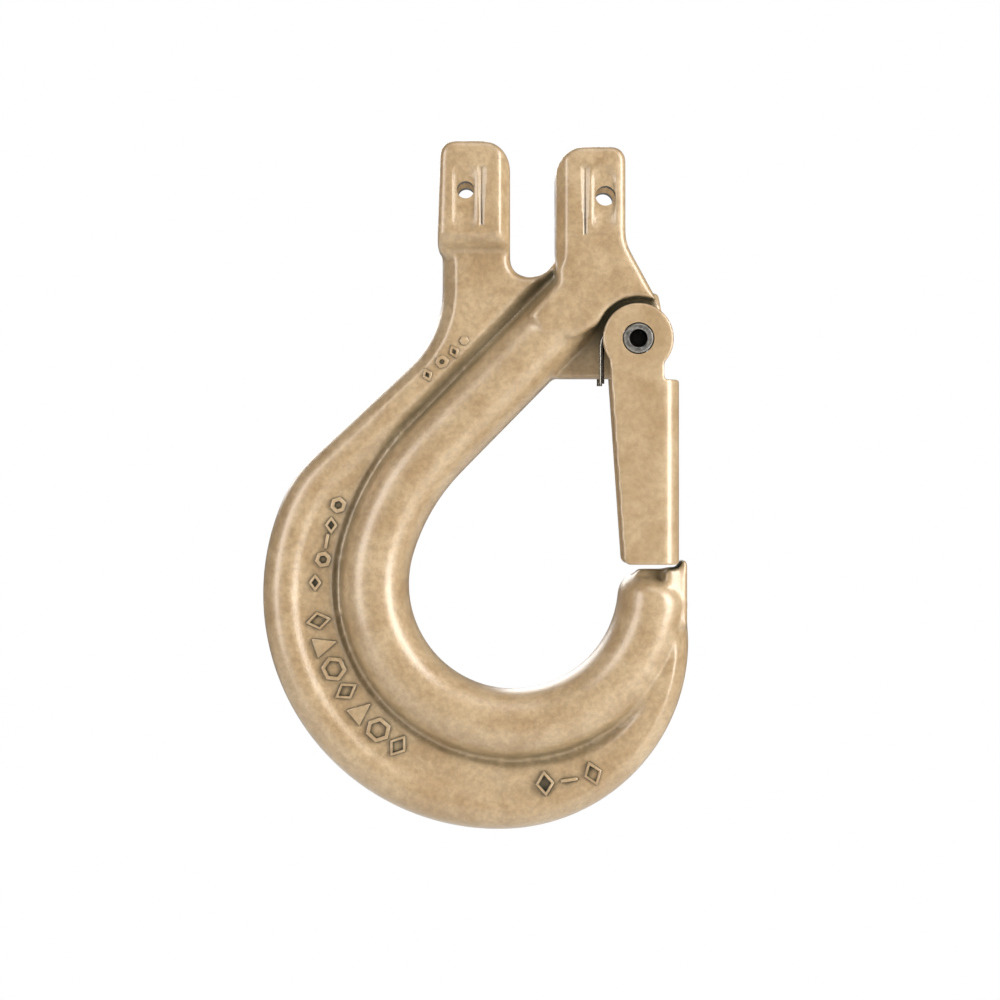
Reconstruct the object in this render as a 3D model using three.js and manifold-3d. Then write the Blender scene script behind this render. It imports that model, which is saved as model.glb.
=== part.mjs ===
// Clevis sling hook with a sprung safety latch, upright as it hangs.
// Millimetres. +X towards the hook's tip, +Y into depth, +Z up.
// The origin is the axis of the load pin, midway between the two ears of the clevis.
// The hook is the same on both sides of the plane Y = 0.

import * as THREE from 'three';
import { mergeVertices } from 'three/addons/utils/BufferGeometryUtils.js';
import Module from 'manifold-3d';

const wasm = await Module();
wasm.setup();

// ---- Clevis -------------------------------------------------------------------------------

const loadPinBore = 10.3; // along X, through both ears
const slotWidth = 9.0; // passes one link of the chain
const slotDepth = 17.0; // from the load pin's axis to the slot's floor
const slotFloorRadius = 3.4; // beside the left ear
const slotCornerRadius = 5.0; // beside the right ear
const earOuter = 18.3; // from the middle of the slot to an ear's outer side
const leftEarTop = 9.6; // above the load pin's axis
const rightEarTop = 8.4;
const earInnerRadius = 5.6; // round top corner beside the slot
const earOuterRadius = 2.8;
const earFlare = 0.7; // the left ear widens by this much from its top to its foot
const clevisDepth = 19.0; // along Y
const clevisEdge = 1.5; // rounding of the clevis's front and back edges
const leftRetainerHole = 3.4; // cross holes for the load pin's retaining pins
const rightRetainerHole = 3.9;
const leftRetainerInset = 5.0; // from the ear's outer side to the cross hole
const leftRetainerDrop = 0.2; // below the load pin's axis
const rightRetainerInset = 4.0;
const rightRetainerDrop = 1.4;
const leftEarFoot = 13.0; // the left ear's full depth ends this far below the load pin
const shoulderDrop = 10.5; // the right ear widens into the shoulder below this
const shoulderRadius = 8.0;
const shoulderX = 4.1; // from the latch's pivot to the shoulder's lower corner
const shoulderZ = 6.9;
const rootInBar = 14.0; // the clevis runs down into the bar this far below its upper end

// ---- Bar of the hook ----------------------------------------------------------------------

const bowlX = -3.8; // centre of the bowl
const bowlRadius = 20.9; // inside of the bowl
const barWidth = 13.6; // from the inside of the hook to the groove beside the flange
const barDepth = 18.0; // along Y
const shankAngle = THREE.MathUtils.degToRad(45.5); // slope of the shank
const shankSpread = 2.2; // the shank stands this much further from the bowl's centre than the bowl
const shankBlend = 18.3; // the turn between them has a radius this much wider than the bowl's
const barTop = new THREE.Vector2(12.0, -19.46); // its upper end, inside the right ear
const tipRise = 1.6; // from the bowl's centre up to the tip's crest, under the latch
const tipDome = 5.0; // height of the rounding on the tip
const noseRise = 3.4; // from the tip's crest up to the nose that stops the latch
const noseThickness = 1.4;
const noseDepth = 11.0; // along Y
const noseEdge = 0.4;
const noseCorner = 0.6;
const blockWidth = 4.6; // the nose stands on a block, from the tip's outer side inwards
const blockDepth = 14.0; // along Y
const blockRise = 1.7; // from the tip's crest up to the block's top
const blockCorner = 1.4;
const blockEdge = 0.9;
const tongueReach = 10.2; // from the tip's outer side to the end of the tongue beside the block
const tongueDepth = 9.0;
const tongueRise = 1.4;

// ---- Flange round the outside of the bar --------------------------------------------------

const flangeDepth = 11.6; // along Y
const flangeEdge = 2.6; // rounding of its rim
const flangeReach = 12.55; // how far the back of the bowl stands out past the bar
const backOffset = new THREE.Vector2(-3.04, -1.94); // the back's centre, from the bowl's centre
const bellyAngle = THREE.MathUtils.degToRad(272.6); // where the back runs into the belly
const bellyTuck = 9.45; // the belly's radius is this much less than the back's
const rimSlope = THREE.MathUtils.degToRad(43.1); // slope of the shank's outer side
const rimTuck = 1.65; // the shank's outer side runs this much nearer the centre than the back
const rimBlend = 17.05; // the turn between them has a radius this much less than the back's
const neckStep = 0.3; // from the ear's outer side in to the side of the neck
const neckRadius = 20.0;

// ---- Latch and its pivot ------------------------------------------------------------------

const pivotZ = -29.5;
const pinDiameter = 6.0;
const pinSocket = 3.6; // hollow in each end of the pin
const pinSocketDepth = 6.0;
const pinProud = 0.2; // each end of the pin stands this far out of the latch
const pinClearance = 0.1; // between the pin and the lug, on the radius
const latchWidth = 19.0; // along Y, over both cheeks
const latchSheet = 2.0;
const latchBend = 3.0; // outer radius of the folds
const latchClearance = 0.15; // between the pin and the latch's cheeks, on the radius
const latchHeadWall = 4.0; // round the pin
const latchNeckX = 5.1; // from the pivot to the side of the neck, under the head
const webReach = 8.2; // from the pivot to the outer side of the web
const webTopGap = 0.4; // from the lug's lower side down to the top of the web
const stopGap = 0.3; // between the closed latch and the nose
const seatGap = 2.4; // between the latch's lower end and the tip's crest
const mouthTop = 5.7; // from the pivot to the latch's open edge, at the pivot
const mouthBottom = 2.8; // the same, at the latch's lower end
const latchCornerRadius = 1.4;
const bladeInHead = 3.0; // the blade runs up into the latch's head to this far below the pivot
const lugWall = 3.0; // round the pin
const lugSkirt = 1.7; // the lug's lower side is this much further from the pivot than its end
const lugRound = 1.5; // the lug's lower corner is rounded by this much less than its drop
const lugReach = 16.0; // from the pivot to the lug's root, inside the bar
const lugTopX = 4.2; // from the pivot to the lug's upper corner, inside the shoulder
const lugInShoulder = 1.0; // how far that corner stands above the hollow
const headGap = 1.3; // between the latch's head and the hollow above it

// ---- Latch spring -------------------------------------------------------------------------

const wire = 1.1;
const coilTurns = 2.25;
const coilGap = 0.15; // between one turn and the next
const coilPinGap = 0.4; // between the pin and the coils
const coilSideGap = 0.2; // between the coils and the lug or the cheek beside them
const bridgeDrop = 13.5; // from the pivot to the loop that presses on the web
const bridgeBend = 1.6; // room for the loop's corner
const legGap = 0.55; // between a leg and the hollow above the latch
const legTop = -1.6; // a leg is straight from here down, measured up from the pivot
const legBelowLug = 1.2; // how far the legs run on below the lug

// ---- Sizes that follow from those above ---------------------------------------------------

const barHalf = barWidth / 2;
const centreRadius = bowlRadius + barHalf; // of the bar's centre line round the bowl
const shankOffset = centreRadius + shankSpread; // from the bowl's centre to that line's shank
const shankFall = (barTop.x - bowlX) * Math.tan(shankAngle) + shankOffset / Math.cos(shankAngle);
const bowl = new THREE.Vector2(bowlX, barTop.y - shankFall); // it hangs below the clevis
const tipCrest = bowl.y + tipRise;
const noseTop = tipCrest + noseRise;
const tipStart = Math.asin((tipCrest - tipDome - bowl.y) / centreRadius); // where the dome begins
const clevisRootX = barTop.x - rootInBar * Math.cos(shankAngle);
const tipOuter = bowl.x + bowlRadius + barWidth; // outer side of the tip and its nose
const backRadius = bowlRadius + barWidth + flangeReach;
const webX = tipOuter - noseThickness - stopGap; // outer side of the latch's web
const latchInner = latchWidth / 2 - latchSheet; // from the middle to the inside of a cheek
const pivot = new THREE.Vector2(webX - webReach, pivotZ);
const latchHeadRadius = pinDiameter / 2 + latchHeadWall;
const headRelief = latchHeadRadius + headGap;
const lugRadius = pinDiameter / 2 + lugWall;
const lugDrop = lugRadius + lugSkirt;
const coilRadius = pinDiameter / 2 + coilPinGap + wire / 2; // to the middle of the wire
const coilPitch = wire + coilGap;
const coilRoom = coilTurns * coilPitch + wire + 2 * coilSideGap;
const lugThickness = 2 * (latchInner - coilRoom); // along Y
const leftRetainer = new THREE.Vector2(leftRetainerInset - earOuter, -leftRetainerDrop);
const rightRetainer = new THREE.Vector2(earOuter - rightRetainerInset, -rightRetainerDrop);

// ---- Fineness of round stretches ----------------------------------------------------------

const spare = 5.0; // how far a cutting shape runs past what it cuts
const chordAngle = THREE.MathUtils.degToRad(8);
const barSides = 20;
const barSteps = 56;
const wireSides = 8;
const springSteps = 190;

// ---- Colours and finish -------------------------------------------------------------------

const goldCoat = { color: 0xc1a47a, roughness: 0.42, metalness: 0.35 };
const darkSteel = { color: 0x6d6c68, roughness: 0.38, metalness: 0.9 };
const springSteel = { color: 0x8f8c84, roughness: 0.3, metalness: 0.95 };

// ---- Solids and outlines ------------------------------------------------------------------

function signedVolume(position, index) {
  const a = new THREE.Vector3();
  const b = new THREE.Vector3();
  const c = new THREE.Vector3();
  let volume = 0;
  for (let i = 0; i < index.count; i += 3) {
    a.fromBufferAttribute(position, index.getX(i));
    b.fromBufferAttribute(position, index.getX(i + 1));
    c.fromBufferAttribute(position, index.getX(i + 2));
    volume += a.dot(b.cross(c)) / 6;
  }
  return volume;
}

// A closed geometry as a solid. A sweep along a path can come out inside out, and is turned back.
function solid(geometry) {
  const plain = geometry.clone();
  plain.deleteAttribute('normal');
  plain.deleteAttribute('uv');
  const merged = mergeVertices(plain, 1e-4);
  const triVerts = new Uint32Array(merged.index.array);
  if (signedVolume(merged.attributes.position, merged.index) < 0) triVerts.reverse();
  const vertProperties = new Float32Array(merged.attributes.position.array);
  return new wasm.Manifold(new wasm.Mesh({ numProp: 3, vertProperties, triVerts }));
}

function geometryOf(body) {
  const mesh = body.getMesh();
  const geometry = new THREE.BufferGeometry();
  geometry.setAttribute('position', new THREE.BufferAttribute(new Float32Array(mesh.vertProperties), 3));
  geometry.setIndex(new THREE.BufferAttribute(new Uint32Array(mesh.triVerts), 1));
  return geometry;
}

// An outline's points, with its arcs cut into chords.
function outlinePoints(path) {
  const points = [];
  for (const curve of path.curves) {
    const turn = curve.isEllipseCurve ? curve.aEndAngle - curve.aStartAngle : 0;
    const sweep = THREE.MathUtils.euclideanModulo(curve.aClockwise ? -turn : turn, 2 * Math.PI);
    const pieces = turn === 0 ? 1 : Math.max(3, Math.ceil(sweep / chordAngle));
    for (const point of curve.getPoints(pieces)) {
      const last = points[points.length - 1];
      if (!last || last.distanceTo(point) > 1e-3) points.push(point);
    }
  }
  if (points[0].distanceTo(points[points.length - 1]) < 1e-3) points.pop();
  return points;
}

// Corners given as [x, z, radius], in order round the outline.
function roundedShape(corners) {
  const path = new THREE.Path();
  const at = (i) => corners[(i + corners.length) % corners.length];
  corners.forEach(([x, z, radius = 0], i) => {
    const corner = new THREE.Vector2(x, z);
    const before = new THREE.Vector2(at(i - 1)[0], at(i - 1)[1]).sub(corner).normalize();
    const after = new THREE.Vector2(at(i + 1)[0], at(i + 1)[1]).sub(corner).normalize();
    if (radius === 0) {
      joinTo(path, corner);
      return;
    }
    const half = Math.acos(THREE.MathUtils.clamp(before.dot(after), -1, 1)) / 2;
    const start = corner.clone().addScaledVector(before, radius / Math.tan(half));
    const middle = before.clone().add(after).normalize();
    const centre = corner.clone().addScaledVector(middle, radius / Math.sin(half));
    const end = corner.clone().addScaledVector(after, radius / Math.tan(half));
    joinTo(path, start);
    const from = Math.atan2(start.y - centre.y, start.x - centre.x);
    const to = Math.atan2(end.y - centre.y, end.x - centre.x);
    path.absarc(centre.x, centre.y, radius, from, to, before.cross(after) > 0);
  });
  return new THREE.Shape(outlinePoints(path));
}

function joinTo(path, point) {
  if (path.curves.length === 0 && path.currentPoint.lengthSq() === 0) path.moveTo(point.x, point.y);
  else path.lineTo(point.x, point.y);
}

// A plate drawn in X and Z, centred on Y = 0, with its front and back edges rounded off.
function plate(shape, depth, edge = 0) {
  const geometry = new THREE.ExtrudeGeometry(shape, {
    depth: depth - 2 * edge,
    bevelEnabled: edge > 0,
    bevelThickness: edge,
    bevelSize: edge,
    bevelOffset: -edge,
    bevelSegments: 3,
    steps: 1,
  });
  geometry.rotateX(Math.PI / 2);
  geometry.translate(0, depth / 2 - edge, 0);
  return solid(geometry);
}

function cylinderY(centre, radius, length, sides = 40) {
  const geometry = new THREE.CylinderGeometry(radius, radius, length, sides);
  geometry.translate(centre.x, 0, centre.y);
  return solid(geometry);
}

// A path drawn in X and Z, as a curve in space.
class FlatCurve extends THREE.Curve {
  constructor(path) {
    super();
    this.path = path;
  }

  getPoint(t, target = new THREE.Vector3()) {
    const point = this.path.getPoint(t);
    return target.set(point.x, 0, point.y);
  }
}

// The arc that leads from a straight side into a circle. The side runs down the shank at a slope,
// at a distance from the circle's centre. The arc touches both, and may be tighter or wider.
function blend(centre, radius, slope, distance, blendRadius) {
  const along = new THREE.Vector2(-Math.cos(slope), -Math.sin(slope));
  const inward = new THREE.Vector2(Math.sin(slope), -Math.cos(slope));
  const gap = Math.abs(blendRadius - radius);
  const side = blendRadius - distance;
  const shift = Math.sqrt(gap * gap - side * side) * Math.sign(radius - blendRadius);
  const middle = centre.clone().addScaledVector(inward, side).addScaledVector(along, shift);
  const start = middle.clone().addScaledVector(inward, -blendRadius);
  const outward = middle.clone().sub(centre).multiplyScalar(Math.sign(radius - blendRadius));
  return {
    middle,
    start,
    from: slope + Math.PI / 2,
    to: Math.atan2(outward.y, outward.x),
  };
}

// ---- Hook ---------------------------------------------------------------------------------

// A point on the shank's centre line, at a given x.
function onShank(x) {
  return new THREE.Vector2(x, barTop.y + (x - barTop.x) * Math.tan(shankAngle));
}

// The bar's centre line, from a given x: down the shank, round the bowl and up to the tip.
function barLine(fromX) {
  const turnRadius = centreRadius + shankBlend;
  const turn = blend(bowl, centreRadius, shankAngle, shankOffset, turnRadius);
  const top = onShank(fromX);
  const path = new THREE.Path();
  path.moveTo(top.x, top.y);
  path.lineTo(turn.start.x, turn.start.y);
  path.absarc(turn.middle.x, turn.middle.y, turnRadius, turn.from, turn.to, false);
  path.absarc(bowl.x, bowl.y, centreRadius, turn.to, 2 * Math.PI + tipStart, false);
  return path;
}

function ellipseShape(width, depth, sides) {
  const points = [];
  for (let i = 0; i < sides; i += 1) {
    const angle = (2 * Math.PI * i) / sides;
    points.push(new THREE.Vector2((depth / 2) * Math.cos(angle), (width / 2) * Math.sin(angle)));
  }
  return new THREE.Shape(points);
}

function bar() {
  const sweep = new THREE.ExtrudeGeometry(ellipseShape(barWidth, barDepth, barSides), {
    steps: barSteps,
    bevelEnabled: false,
    extrudePath: new FlatCurve(barLine(barTop.x)),
  });
  return solid(sweep);
}

function tip() {
  const geometry = new THREE.SphereGeometry(1, 28, 16);
  geometry.rotateX(Math.PI / 2);
  geometry.scale(barHalf, barDepth / 2, tipDome);
  geometry.translate(bowl.x + centreRadius * Math.cos(tipStart), 0, tipCrest - tipDome);
  return solid(geometry);
}

function flange() {
  const back = bowl.clone().add(backOffset);
  const belly = new THREE.Vector2(Math.cos(bellyAngle), Math.sin(bellyAngle));
  belly.multiplyScalar(bellyTuck).add(back);
  const rimRadius = backRadius - rimBlend;
  const rim = blend(back, backRadius, rimSlope, backRadius - rimTuck, rimRadius);
  const neckX = neckStep - earOuter;
  const neckDrop = (neckX - rim.start.x) * Math.tan(rimSlope) + rim.start.y;
  const neckTangent = neckRadius * Math.tan((Math.PI / 2 - rimSlope) / 2);

  const path = new THREE.Path();
  path.moveTo(neckX, -leftEarFoot + clevisEdge);
  path.lineTo(neckX, neckDrop + neckTangent);
  path.absarc(neckX - neckRadius, neckDrop + neckTangent, neckRadius, 0, rimSlope - Math.PI / 2, true);
  path.lineTo(rim.start.x, rim.start.y);
  path.absarc(rim.middle.x, rim.middle.y, rimRadius, rim.from, rim.to, false);
  path.absarc(back.x, back.y, backRadius, rim.to, bellyAngle, false);
  path.absarc(belly.x, belly.y, backRadius - bellyTuck, bellyAngle, 2 * Math.PI, false);
  path.lineTo(tipOuter, tipCrest - tipDome);

  const inner = outlinePoints(barLine(clevisRootX)).reverse();
  const top = new THREE.Vector2(clevisRootX, -leftEarFoot + clevisEdge);
  const points = [...outlinePoints(path), ...inner, top];
  return new THREE.Shape(points);
}

// The nose stands up from the tip, outside the latch, and stops it from swinging outwards. It
// stands on a block under the latch's web, and a tongue runs from the block between the cheeks.
function nose() {
  const foot = tipCrest - 2 * tipDome;
  const lip = roundedShape([
    [tipOuter, noseTop, noseCorner],
    [tipOuter - noseThickness, noseTop, noseCorner],
    [tipOuter - noseThickness, tipCrest - noseThickness, 0],
    [tipOuter - barHalf, foot, 0],
    [tipOuter, foot, 0],
  ]);
  const block = roundedShape([
    [tipOuter, tipCrest + blockRise, blockCorner],
    [tipOuter - blockWidth, tipCrest + blockRise, blockCorner],
    [tipOuter - blockWidth, foot, 0],
    [tipOuter, tipCrest - tipDome, 0],
  ]);
  const tongue = roundedShape([
    [tipOuter - blockCorner, tipCrest + tongueRise, 0],
    [tipOuter - tongueReach, tipCrest + tongueRise, blockCorner],
    [tipOuter - tongueReach, foot, 0],
    [tipOuter - blockCorner, foot, 0],
  ]);
  return plate(lip, noseDepth, noseEdge)
    .add(plate(block, blockDepth, blockEdge))
    .add(plate(tongue, tongueDepth, noseEdge));
}

// Both ears, the slot between them, and the shoulder that runs down from the right ear to the
// hollow over the latch. The lower side ends inside the bar.
function clevis() {
  const inside = onShank(clevisRootX);
  return roundedShape([
    [-earOuter, leftEarTop, earOuterRadius],
    [-earOuter - earFlare, -leftEarFoot, earOuterRadius],
    [-slotWidth / 2 - 2 * slotFloorRadius, -leftEarFoot, slotFloorRadius],
    [inside.x, inside.y, 0],
    [pivot.x, pivot.y, 0],
    [pivot.x + shoulderX, pivot.y + shoulderZ, 0],
    [earOuter, -shoulderDrop, shoulderRadius],
    [earOuter, rightEarTop, earOuterRadius],
    [slotWidth / 2, rightEarTop, earInnerRadius],
    [slotWidth / 2, -slotDepth, slotCornerRadius],
    [-slotWidth / 2, -slotDepth, slotFloorRadius],
    [-slotWidth / 2, leftEarTop, earInnerRadius],
  ]);
}

// The slot is cut through the flange and the bar as well.
function slot() {
  const top = leftEarTop + spare;
  const shape = roundedShape([
    [-slotWidth / 2, top, 0],
    [-slotWidth / 2, -slotDepth, slotFloorRadius],
    [slotWidth / 2, -slotDepth, slotCornerRadius],
    [slotWidth / 2, top, 0],
  ]);
  return plate(shape, clevisDepth + spare);
}

function lug() {
  const rootX = pivot.x - lugReach;
  const rootZ = pivot.y + headRelief;
  const shape = roundedShape([
    [rootX, pivot.y - lugDrop, 0],
    [pivot.x, pivot.y - lugDrop, lugDrop - lugRound],
    [pivot.x + lugRadius, pivot.y, lugRadius / 2],
    [pivot.x + lugTopX, rootZ + lugInShoulder, 0],
    [rootX, rootZ, 0],
  ]);
  return plate(shape, lugThickness).add(cylinderY(pivot, lugRadius, lugThickness));
}

function hookBody() {
  const loadPin = new THREE.CylinderGeometry(loadPinBore / 2, loadPinBore / 2, 3 * earOuter, 40);
  loadPin.rotateZ(Math.PI / 2);
  return bar()
    .add(tip())
    .add(plate(flange(), flangeDepth, flangeEdge))
    .add(nose())
    .subtract(slot())
    .add(plate(clevis(), clevisDepth, clevisEdge))
    .subtract(cylinderY(pivot, headRelief, 2 * clevisDepth, 48))
    .add(lug())
    .subtract(solid(loadPin))
    .subtract(cylinderY(leftRetainer, leftRetainerHole / 2, 2 * clevisDepth, 24))
    .subtract(cylinderY(rightRetainer, rightRetainerHole / 2, 2 * clevisDepth, 24))
    .subtract(cylinderY(pivot, pinDiameter / 2 + pinClearance, 2 * clevisDepth));
}

// ---- Latch --------------------------------------------------------------------------------

function latch() {
  const bottom = tipCrest + seatGap;
  const webTop = pivot.y - lugDrop - webTopGap;
  const blade = roundedShape([
    [pivot.x - mouthTop, pivot.y - bladeInHead, 0],
    [pivot.x - mouthBottom, bottom, latchCornerRadius],
    [webX, bottom, latchCornerRadius / 2],
    [webX, webTop, 0],
    [pivot.x + latchNeckX, webTop, 0],
    [pivot.x + latchNeckX, pivot.y - bladeInHead, 0],
  ]);
  const back = pivot.x - latchHeadRadius - spare;
  const innerBend = latchBend - latchSheet;
  const outerSection = roundedSection(back, webX, latchWidth / 2, latchBend);
  const innerSection = roundedSection(back - spare, webX - latchSheet, latchInner, innerBend);
  const outside = prism(outerSection, bottom - spare, pivot.y + spare);
  const inside = prism(innerSection, bottom - 2 * spare, pivot.y + 2 * spare);
  const head = cylinderY(pivot, latchHeadRadius, latchWidth, 48);
  const between = new THREE.BoxGeometry(4 * latchHeadRadius, 2 * latchInner, 4 * latchHeadRadius);
  between.translate(pivot.x, 0, pivot.y);
  return plate(blade, latchWidth + spare)
    .intersect(outside.subtract(inside))
    .add(head.subtract(solid(between)))
    .subtract(cylinderY(pivot, pinDiameter / 2 + latchClearance, 2 * latchWidth));
}

// An upright channel's section in X and Y, with two rounded corners on the +X side.
function roundedSection(fromX, toX, halfWidth, radius) {
  return roundedShape([
    [fromX, -halfWidth, 0],
    [toX, -halfWidth, radius],
    [toX, halfWidth, radius],
    [fromX, halfWidth, 0],
  ]);
}

function prism(shape, fromZ, toZ) {
  const geometry = new THREE.ExtrudeGeometry(shape, { depth: toZ - fromZ, bevelEnabled: false });
  geometry.translate(0, 0, fromZ);
  return solid(geometry);
}

// ---- Pin ----------------------------------------------------------------------------------

function latchPin() {
  const length = latchWidth + 2 * pinProud;
  const socket = cylinderY(pivot, pinSocket / 2, 2 * pinSocketDepth, 28);
  return cylinderY(pivot, pinDiameter / 2, length)
    .subtract(socket.translate(0, length / 2, 0))
    .subtract(socket.translate(0, -length / 2, 0));
}

// ---- Spring -------------------------------------------------------------------------------

// One half of the spring, from the loop on the web, up and round the pin, to the leg on the hook.
function springHalf() {
  const nearLug = lugThickness / 2 + coilSideGap + wire / 2;
  const webInside = webReach - latchSheet - stopGap - wire / 2;
  const points = [
    [webInside, nearLug - bridgeBend, -bridgeDrop],
    [webInside, nearLug - bridgeBend / 4, -bridgeDrop + bridgeBend / 4],
    [webInside, nearLug, -bridgeDrop + bridgeBend],
    [(webInside + coilRadius) / 2, nearLug, -bridgeDrop / 2],
    [coilRadius, nearLug, -coilRadius / 2],
  ];
  const steps = Math.round(coilTurns * 16);
  for (let i = 0; i <= steps; i += 1) {
    const turn = (coilTurns * i) / steps;
    const angle = 2 * Math.PI * turn;
    const across = nearLug + coilPitch * turn;
    points.push([coilRadius * Math.cos(angle), across, coilRadius * Math.sin(angle)]);
  }
  const farOut = nearLug + coilPitch * coilTurns;
  const legX = legGap + wire / 2 - headRelief;
  for (let i = 1; i <= 4; i += 1) {
    const angle = (i * Math.PI) / 8;
    points.push([legX * Math.sin(angle), farOut, legTop + (coilRadius - legTop) * Math.cos(angle)]);
  }
  points.push([legX, farOut, -lugDrop - legBelowLug]);
  return points;
}

function latchSpring() {
  const half = springHalf();
  const place = ([x, y, z], side) => new THREE.Vector3(pivot.x + x, side * y, pivot.y + z);
  const front = half.map((point) => place(point, -1)).reverse();
  const back = half.map((point) => place(point, 1));
  const curve = new THREE.CatmullRomCurve3([...front, ...back], false, 'centripetal');
  const sweep = new THREE.ExtrudeGeometry(ellipseShape(wire, wire, wireSides), {
    steps: springSteps,
    bevelEnabled: false,
    extrudePath: curve,
  });
  return solid(sweep);
}

// ---- Assembly -----------------------------------------------------------------------------

function part(name, body, finish) {
  const mesh = new THREE.Mesh(geometryOf(body), new THREE.MeshStandardMaterial(finish));
  mesh.name = name;
  return mesh;
}

const hook = new THREE.Group();
hook.add(part('hook_body', hookBody(), goldCoat));
hook.add(part('latch', latch(), goldCoat));
hook.add(part('latch_pin', latchPin(), darkSteel));
hook.add(part('latch_spring', latchSpring(), springSteel));

export default hook;
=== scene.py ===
import math

import bmesh
import bpy
from bpy.props import FloatProperty, PointerProperty, StringProperty
from mathutils import Matrix, Vector


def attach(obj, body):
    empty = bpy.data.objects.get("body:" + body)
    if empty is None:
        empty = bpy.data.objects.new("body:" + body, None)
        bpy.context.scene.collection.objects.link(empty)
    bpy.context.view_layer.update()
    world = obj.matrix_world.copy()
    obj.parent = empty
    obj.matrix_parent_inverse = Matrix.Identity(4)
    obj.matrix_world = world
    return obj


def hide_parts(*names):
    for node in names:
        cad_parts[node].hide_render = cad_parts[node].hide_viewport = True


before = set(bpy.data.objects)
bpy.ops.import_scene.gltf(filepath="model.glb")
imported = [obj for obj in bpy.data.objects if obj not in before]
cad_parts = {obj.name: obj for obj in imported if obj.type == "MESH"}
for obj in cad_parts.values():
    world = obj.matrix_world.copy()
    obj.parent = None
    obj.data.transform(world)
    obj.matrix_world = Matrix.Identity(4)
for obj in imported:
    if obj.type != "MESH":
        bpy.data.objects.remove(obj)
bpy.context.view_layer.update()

bl_info = {
    "name": "Clevis Sling Hook",
    "version": (1, 0, 0),
    "blender": (4, 5, 0),
    "location": "View3D > Sidebar > Hook",
    "description": "Models a forged clevis sling hook with a sprung latch, and its stage",
    "category": "Object",
}

MM = 0.001
SIDES = (1, -1)  # the back and the front of the hook, as signs of Y


# ---- Sizes and colours a user would change ------------------------------------------------


def length(name, description, millimetres):
    return FloatProperty(
        name=name, description=description, default=millimetres * MM, unit="LENGTH", precision=5
    )


def paint(name, description, text):
    return StringProperty(name=name, description=description, default=text)


class ForgingSizes(bpy.types.PropertyGroup):
    bowl_radius: length("Bowl radius", "Inside radius of the bowl", 20.9)
    bar_width: length("Bar width", "Width of the bar round the bowl", 13.6)
    bar_depth: length("Bar depth", "Thickness of the bar, front to back", 17.9)
    flange_depth: length("Flange depth", "Thickness of the flange at its rim", 11.6)
    panel_drop: length("Panel drop", "How far the panel lies below the flange's rim", 1.2)
    clevis_depth: length("Clevis depth", "Thickness of the ears, front to back", 18.9)
    slot_width: length("Slot width", "Width of the slot for the chain link", 9.0)
    load_pin_bore: length("Load pin bore", "Bore through both ears", 10.3)
    left_hole: length("Left retainer hole", "Cross hole in the left ear", 3.4)
    right_hole: length("Right retainer hole", "Cross hole in the right ear", 3.9)
    mark_rise: length("Mark rise", "How far the raised marks stand out of the panel", 0.6)
    voxel: length("Forging detail", "Mesh spacing of the forging", 0.53)


class LatchSizes(bpy.types.PropertyGroup):
    width: length("Latch width", "Over both cheeks, front to back", 18.9)
    sheet: length("Sheet", "Thickness of the latch's sheet steel", 2.0)
    head_radius: length("Head radius", "Round head of each cheek", 7.0)
    pin_diameter: length("Pin diameter", "Outside of the pin", 6.0)
    pin_socket: length("Pin socket", "Hollow in each end of the pin", 3.6)
    socket_depth: length("Socket depth", "Depth of each hollow", 6.0)
    wire: length("Spring wire", "Thickness of the spring's wire", 1.1)


class HookColours(bpy.types.PropertyGroup):
    gold: paint("Gold paint", "The paint where it lies evenly", "#a18661")
    gold_pale: paint("Pale gold paint", "The paint where it is thin and dry", "#b59d7a")
    # painted shade: the dark colour that corners and the ground round the marks are darkened
    # towards
    painted_crease_shade: paint("Painted crease shade", "Painted shade in corners and round the marks", "#2b331f")
    pin: paint("Pin steel", "The pin's ends", "#c4c0b8")
    wire: paint("Spring steel", "The spring's wire", "#8f8c84")
    floor: paint("Floor", "The pale floor", "#f2f2f0")


# ---- Places and sizes, in millimetres, X to the right and Z up -----------------------------
# The origin is on the load pin's axis, midway between the ears. A corner is (x, z, radius).

LEFT_HOLE = Vector((-13.3, -0.2))
RIGHT_HOLE = Vector((14.3, -1.4))
PIVOT = Vector((20.8, -29.5))  # the latch pin's axis
THROUGH = 40  # long enough to pass through the whole hook, front to back

# The shank and the bowl
LOAD_TO_SHANK = Vector((12.0, -19.46))  # where the bar's centre line starts, in the right ear
SHANK_SLOPE = math.radians(45.5)
SHANK_SPREAD = 2.2  # how much further from the bowl's centre the shank runs than the bowl does
SHANK_BLEND = 18.3  # how much wider the turn into the bowl is than the bowl
SHANK_TURNS = 8
BOWL_X = -3.8
BOWL_TURNS = 60

# The bar's section: 2 is an ellipse, and a larger number is fuller
BAR_POINTS = 48
BAR_OVERLAP = 0.6  # how much further the section reaches on the flange's side
BAR_FULLNESS_OUT = 2.25
BAR_FULLNESS_FACE = 2.15

# The tip
TIP_RISE = 1.6  # its crest above the bowl's centre
TIP_DOME = 5.0
DOME_STEPS = 7
DOME_TURN = math.pi / 2 / 7.6  # the dome ends a little before its pole
DOME_TAPER = 0.55

# The flange's outer edge: a neck under the left ear, the back, and the belly under the bowl
BACK_OFFSET = Vector((-3.04, -1.94))
BACK_TURNS = 44
FLANGE_REACH = 12.53
BELLY_ANGLE = math.radians(272.6)
BELLY_TUCK = 9.45
BELLY_TURNS = 28
RIM_SLOPE = math.radians(43.1)
RIM_TUCK = 1.65
RIM_BLEND = 17.05
RIM_TURNS = 14
NECK_X = -18.0
NECK_TOP = -11.5
NECK_RADIUS = 20.0
NECK_TURNS = 12

# The rim's section, as distances from the outer edge
RIM_ROUND = 5.2
RIM_ROUND_POINTS = 8
RIM_FULLNESS = 2.3
CREST_END = 5.6
CREST_DROP = 0.1
PANEL_START = 7.7
PANEL_LAP = 9.5

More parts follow.
